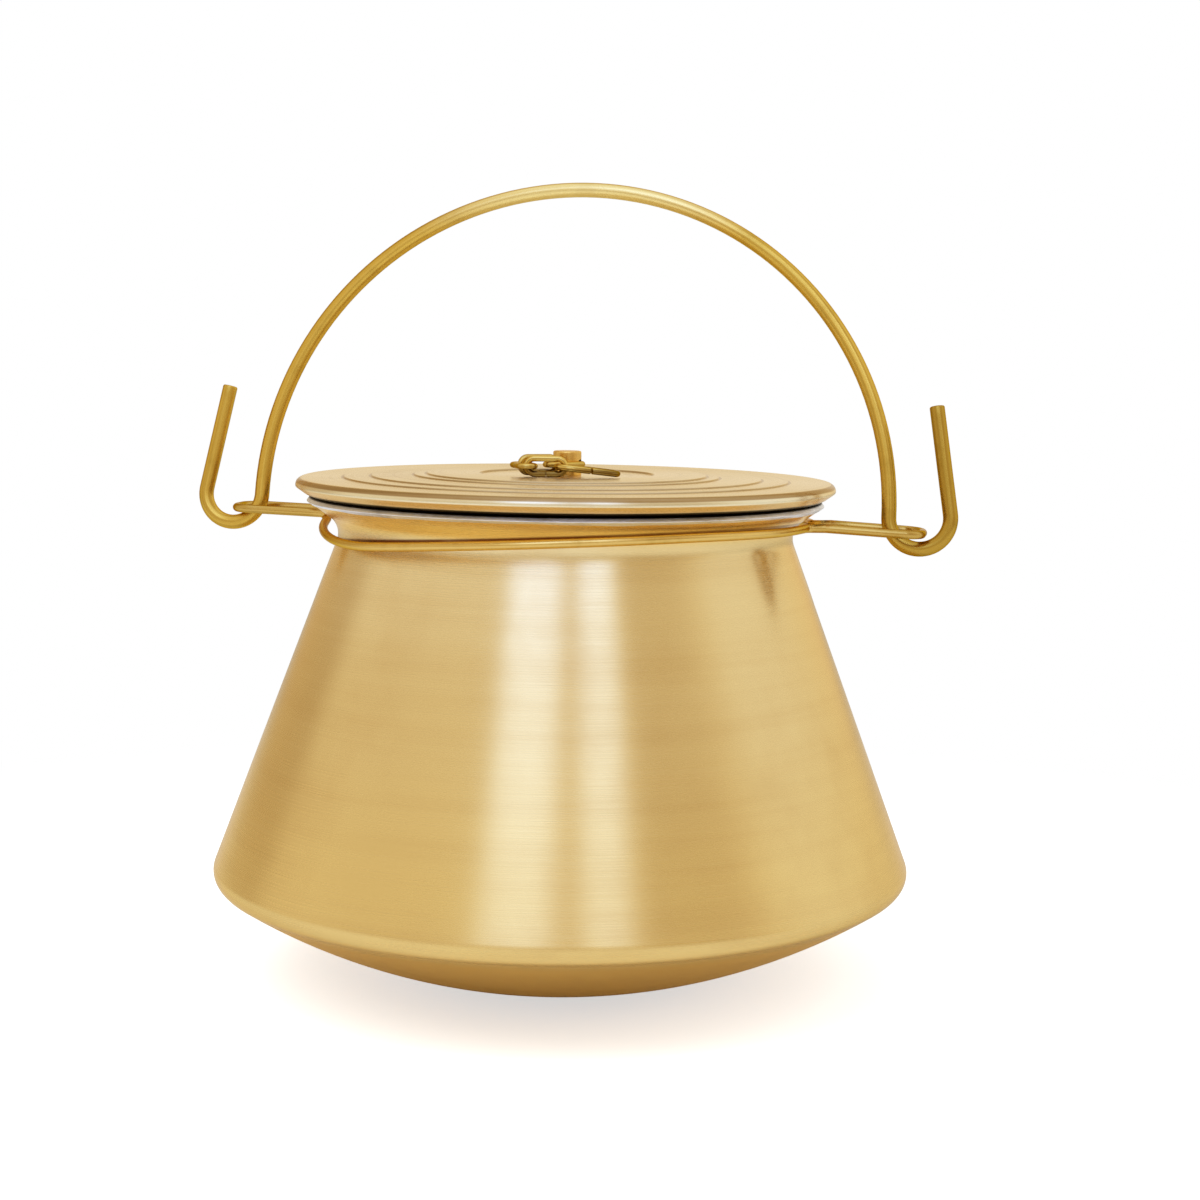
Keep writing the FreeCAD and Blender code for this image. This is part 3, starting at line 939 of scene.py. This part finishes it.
class BAILPOT_OT_wipe_tin(bpy.types.Operator):
    """Line the pot with wiped tin that laps raggedly over the rim"""

    bl_idname = "bailpot.wipe_tin"
    bl_label = "Wipe tin"
    bl_options = {"REGISTER", "UNDO"}

    def execute(self, context):
        settings = context.scene.bail_pot
        sizes = settings.pot
        backed = pot_outline(sizes, sizes.sheet)[0]
        wetted, flare, flare_in = pot_outline(sizes, sizes.sheet + sizes.tin, sizes.tin)
        rim = flat_point(sizes.rim_radius, sizes.rim_height)
        face = rim - flare_in * sizes.tin
        lap = [wetted[-1], face + flare * sizes.tin, face - flare * sizes.tin_lap]
        lap = rounded(lap, [sizes.tin_bend])[1:]
        edge = [rim - flare * sizes.tin_lap, rim]
        outline = wetted + lap + edge + backed[::-1]
        ragged = (len(wetted) + len(lap) - 1, len(wetted) + len(lap))

        def uneven(index, turn):
            if index not in ragged:
                return Vector()
            wander = math.sin(7 * turn) + 0.7 * math.sin(13 * turn + 1.3) + 0.5 * math.sin(29 * turn + 0.4)
            return flare * (sizes.tin_ragged * wander / 2.2)

        piece = spun("tin_coat", outline, wiped_tin(settings.finish, sizes), uneven=uneven)
        place(piece, "pot", "tin", "tin_lining")
        return {"FINISHED"}


class BAILPOT_OT_bend_neck_wire(bpy.types.Operator):
    """Bend the wire round the neck and its two eyes"""

    bl_idname = "bailpot.bend_neck_wire"
    bl_label = "Bend neck wire"
    bl_options = {"REGISTER", "UNDO"}

    def execute(self, context):
        settings = context.scene.bail_pot
        sizes = settings.wire
        finish = settings.finish
        material = drawn_brass(
            "wire_brass", finish.wire, finish.rod_tarnish_and_shade, wire_eye_shade, streak=0.45, rough_mid=0.2
        )
        piece = drawn("eye_wire", neck_wire_line(sizes), sizes.radius, material, wire_sides, sizes.rubbed)
        place(piece, "pot", "wire_brass", "neck_wire")
        return {"FINISHED"}


class BAILPOT_OT_bend_bail(bpy.types.Operator):
    """Bend the rod of the bail and hook its ends"""

    bl_idname = "bailpot.bend_bail"
    bl_label = "Bend bail"
    bl_options = {"REGISTER", "UNDO"}

    def execute(self, context):
        settings = context.scene.bail_pot
        sizes = settings.bail
        finish = settings.finish
        material = drawn_brass(
            "rod_brass", finish.rod, finish.rod_tarnish_and_shade, bail_sheen_and_shade(finish), streak=0.6, rough_mid=0.28
        )
        piece = drawn("bail_rod", bail_line(sizes), sizes.rod_radius, material, rod_sides, sizes.rubbed)
        place(piece, "bail", "rod_brass", "bail_handle")
        return {"FINISHED"}


class BAILPOT_OT_spin_lid(bpy.types.Operator):
    """Spin the stepped lid and turn the peg and washer that sit in it"""

    bl_idname = "bailpot.spin_lid"
    bl_label = "Spin lid"
    bl_options = {"REGISTER", "UNDO"}

    def execute(self, context):
        settings = context.scene.bail_pot
        sizes = settings.lid
        outline, floor = lid_outline(sizes)
        plate = spun("spun_lid", outline, lid_brass(settings.finish, sizes), closed=True)
        place(plate, "lid", "lid_brass", "lid_plate")
        brass = peg_brass(settings.finish)
        peg = spun("peg", peg_outline(sizes, floor), brass, turns=96)
        heading = math.radians(settings.chain.headings[0])
        across = Vector((-math.sin(heading), math.cos(heading), 0))
        cut_hole(peg, up * (floor + sizes.chain_level), across, sizes.peg_hole, 4 * sizes.peg_radius)
        place(peg, "lid", "knob_brass", "lid_knob")
        low, high = washer_box
        inner = sizes.tail_radius + sizes.tail_gap
        corners = [(inner, low.z), (high.x, low.z), (high.x, high.z), (inner, high.z)]
        loop = [flat_point(*c) for c in corners]
        middle = (loop[3] + loop[0]) / 2
        ring = rounded([middle] + loop + [middle], [sizes.washer_bend] * 4)[:-1]
        washer = spun("peg_washer", ring, brass, closed=True, turns=96)
        place(washer, "lid", "knob_brass", "knob_washer")
        return {"FINISHED"}


class BAILPOT_OT_link_chain(bpy.types.Operator):
    """Bend the yoke, the small links and the split link of the chain"""

    bl_idname = "bailpot.link_chain"
    bl_label = "Link chain"
    bl_options = {"REGISTER", "UNDO"}

    def execute(self, context):
        settings = context.scene.bail_pot
        sizes = settings.chain
        finish = settings.finish
        brass = drawn_brass(
            "chain_brass", finish.chain, finish.chain_tarnish_and_shade, chain_underside_shade,
            streak=0.9, rough_mid=0.18, patches=260.0,
        )
        ways = [Vector((math.cos(math.radians(h)), math.sin(math.radians(h)), 0)) for h in sizes.headings]
        low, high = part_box("chain_link_1")
        hole = up * ((low.z + high.z) / 2)
        yoke = [
            (sizes.yoke_reach, -sizes.yoke_end),
            (sizes.yoke_reach, sizes.yoke_end),
            (0, sizes.yoke_half_width),
            (0, -sizes.yoke_half_width),
        ]
        bends = [sizes.yoke_end_bend] * 2 + [sizes.yoke_peg_bend] * 2
        line = link_line(hole, ways[0], up.cross(ways[0]), yoke, bends, sizes.seam)
        piece = drawn("chain_yoke", line, sizes.wire_radius, brass, chain_sides, sizes.rubbed)
        place(piece, "yoke", "chain_brass", "chain_link_1")
        end = hole + ways[0] * sizes.yoke_reach
        corners, bends = oval(sizes.link_half_length, sizes.link_half_width)
        for i in (1, 2, 3):
            on_edge = i % 2 == 1
            near = end - (ways[i - 1] if on_edge else ways[i]) * sizes.play
            across = up if on_edge else up.cross(ways[i])
            middle = near + ways[i] * sizes.link_half_length
            line = link_line(middle, ways[i], across, corners, bends, sizes.seam)
            name = "chain_ring_%d" % (i + 1)
            piece = drawn(name, line, sizes.wire_radius, brass, chain_sides, sizes.rubbed)
            place(piece, "link_%d" % (i + 1), "chain_brass", "chain_link_%d" % (i + 1))
            end = middle + ways[i] * sizes.link_half_length
        across = up.cross(ways[4])
        fall = Matrix.Rotation(sizes.split_dip, 3, across) @ ways[4]
        middle = end - ways[4] * sizes.play + fall * sizes.split_half_length
        corners, bends = oval(sizes.split_half_length, sizes.split_half_width)
        line = link_line(middle, fall, across, corners, bends, sizes.split_seam)
        wire = sizes.split_wire_radius
        piece = drawn("chain_split_ring", line, wire, brass, chain_sides, sizes.split_rubbed)
        place(piece, "split", "chain_brass", "split_link")
        return {"FINISHED"}


class BAILPOT_OT_set_stage(bpy.types.Operator):
    """Set the floor, the studio light and the camera"""

    bl_idname = "bailpot.set_stage"
    bl_label = "Set stage"
    bl_options = {"REGISTER", "UNDO"}

    def execute(self, context):
        studio = context.scene.bail_pot.studio
        context.scene.view_settings.view_transform = "Standard"
        self.lay_floor(studio)
        self.light_world(studio)
        self.hang_lamps()
        self.set_camera(studio)
        return {"FINISHED"}

    def lay_floor(self, studio):
        """Pale floor that is white to the camera but for the pot's shadow."""
        mesh = bpy.data.meshes.new("floor")
        shell = bmesh.new()
        bmesh.ops.create_circle(shell, cap_ends=True, segments=96, radius=studio.floor_radius)
        shell.to_mesh(mesh)
        shell.free()
        floor = bpy.data.objects.new("floor", mesh)
        bpy.context.scene.collection.objects.link(floor)
        material, g = new_material("floor")
        grey = (*(studio.floor_shade,) * 3, 1.0)
        plain = g.node("ShaderNodeBsdfDiffuse", None, {"Color": grey})
        glow = g.node("ShaderNodeEmission", None, {"Color": (1, 1, 1, 1), "Strength": 0.6})
        lit = g.node("ShaderNodeAddShader", None, {0: plain.outputs[0], 1: glow.outputs[0]})
        white = g.node("ShaderNodeEmission", None, {"Color": (1, 1, 1, 1), "Strength": 1.0})
        far = g.away(g.position()).rise(0.16, 0.5)
        lit = g.node("ShaderNodeMixShader", None, {0: far, 1: lit.outputs[0], 2: white.outputs[0]})
        seen = g.node("ShaderNodeLightPath").outputs["Is Camera Ray"]
        both = g.node("ShaderNodeMixShader", None, {0: seen, 1: plain.outputs[0], 2: lit.outputs[0]})
        g.node("ShaderNodeOutputMaterial", None, {"Surface": both.outputs[0]})
        mesh.materials.append(material)

    def light_world(self, studio):
        """White to the camera. Metal sees a pale room with soft panels round the pot."""
        world = bpy.data.worlds.new("studio")
        bpy.context.scene.world = world
        world.use_nodes = True
        g = Graph(world.node_tree)
        way = g.node("ShaderNodeTexCoord").outputs["Generated"]
        x = g.part(way, 0)
        y = g.part(way, 1)
        z = g.part(way, 2)
        turn = g.math("ARCTAN2", x, y * -1.0) - studio.azimuth
        degree = math.radians(1)
        tall = z.rise(0.36, 0.62) * 0.4 + 0.6
        room = 0.24 + g.math("SINE", turn) * 0.12
        # Middle, half width and soft edge of each panel in degrees from the camera, and its strength
        for middle, half, soft, strength in (
            (-68, 34, 16, 0.36),
            (-12.5, 6, 15, tall * 0.95),
            (18, 4, 12, tall * 0.82),
            (112, 32, 24, 0.29),
        ):
            room = room + turn.window(middle * degree, half * degree, soft * degree) * strength
        behind = (g.math("COSINE", turn) * -1.0).rise(0.92, 0.985)
        room = room + behind * (1 - z.rise(0.22, 0.5)) * 0.36
        front = turn.window(0.0, 50 * degree, 40 * degree) * (1 - z.rise(0.12, 0.38))
        room = room * (1 - front * 0.5)
        ceiling = z.rise(0.72, 0.97)
        room = room * (1 - ceiling) + ceiling * 0.70
        panels = g.node("ShaderNodeValToRGB", {"stops": [
            (0.0, (0.52, 0.40, 0.26)),
            (0.5, (0.84, 0.77, 0.65)),
            (0.75, (0.95, 0.97, 0.98)),
        ]}, {0: room})
        glow = g.mix(room.rise(0.6, 1.0), panels.outputs[0], (1.3, 1.6, 2.7))
        path = g.node("ShaderNodeLightPath").outputs
        camera = Value(g, path["Is Camera Ray"])
        glossy = Value(g, path["Is Glossy Ray"])
        clear = Value(g, path["Is Transmission Ray"])
        shown = g.mix(glossy, (0.62, 0.62, 0.62), glow)
        shown = g.mix(g.math("MINIMUM", camera + clear, 1.0), shown, (1, 1, 1))
        light = g.node("ShaderNodeBackground", None, {"Color": shown, "Strength": 1.0})
        g.node("ShaderNodeOutputWorld", None, {"Surface": light.outputs[0]})

    def hang_lamps(self):
        """A large soft lamp over the front and a weaker one at the side."""
        for name, spot, size, power in (
            ("key", (-0.7, -1.0, 1.6), 1.4, 20.0),
            ("side", (1.3, -0.3, 1.1), 1.2, 8.0),
        ):
            lamp = bpy.data.lights.new(name, "AREA")
            lamp.energy = power
            lamp.size = size
            holder = bpy.data.objects.new(name, lamp)
            holder.location = spot
            aim = up * 0.1 - holder.location
            holder.rotation_euler = aim.to_track_quat("-Z", "Y").to_euler()
            holder.visible_glossy = False
            bpy.context.scene.collection.objects.link(holder)

    def set_camera(self, studio):
        """Camera at the photographed angle."""
        lens = bpy.data.cameras.new("camera")
        lens.sensor_width = 36.0
        lens.lens = studio.focal
        lens.shift_x, lens.shift_y = studio.shift
        camera = bpy.data.objects.new("camera", lens)
        turn = Matrix.Rotation(studio.azimuth, 3, "Z")
        tip = Matrix.Rotation(math.pi / 2 - studio.pitch, 3, "X")
        roll = Matrix.Rotation(studio.roll, 3, "Z")
        camera.rotation_euler = (turn @ tip @ roll).to_euler()
        camera.location = turn @ Vector((studio.aside, -studio.distance, studio.height))
        bpy.context.scene.collection.objects.link(camera)
        bpy.context.scene.camera = camera


class BAILPOT_PT_panel(bpy.types.Panel):
    """Settings of the pot, and a button for each of its pieces"""

    bl_idname = "BAILPOT_PT_panel"
    bl_label = "Lidded pot with bail"
    bl_space_type = "VIEW_3D"
    bl_region_type = "UI"
    bl_category = "Pot"

    def draw(self, context):
        settings = context.scene.bail_pot
        for operator in operators:
            self.layout.operator(operator.bl_idname)
        for name in PotSettings.__annotations__:
            group = getattr(settings, name)
            box = self.layout.box()
            box.label(text=name.capitalize())
            for setting in type(group).__annotations__:
                box.prop(group, setting)


groups = (PotSizes, LidSizes, WireSizes, BailSizes, ChainSizes, Finishes, StudioSettings, PotSettings)
operators = (
    BAILPOT_OT_spin_pot,
    BAILPOT_OT_wipe_tin,
    BAILPOT_OT_bend_neck_wire,
    BAILPOT_OT_bend_bail,
    BAILPOT_OT_spin_lid,
    BAILPOT_OT_link_chain,
    BAILPOT_OT_set_stage,
)


def register():
    for made in (*groups, *operators, BAILPOT_PT_panel):
        bpy.utils.register_class(made)
    bpy.types.Scene.bail_pot = bpy.props.PointerProperty(type=PotSettings)


def unregister():
    del bpy.types.Scene.bail_pot
    for made in reversed((*groups, *operators, BAILPOT_PT_panel)):
        bpy.utils.unregister_class(made)


def main():
    register()
    bpy.ops.bailpot.spin_pot()
    bpy.ops.bailpot.wipe_tin()
    bpy.ops.bailpot.bend_neck_wire()
    bpy.ops.bailpot.bend_bail()
    bpy.ops.bailpot.spin_lid()
    bpy.ops.bailpot.link_chain()
    bpy.ops.bailpot.set_stage()


if __name__ == "__main__":
    main()
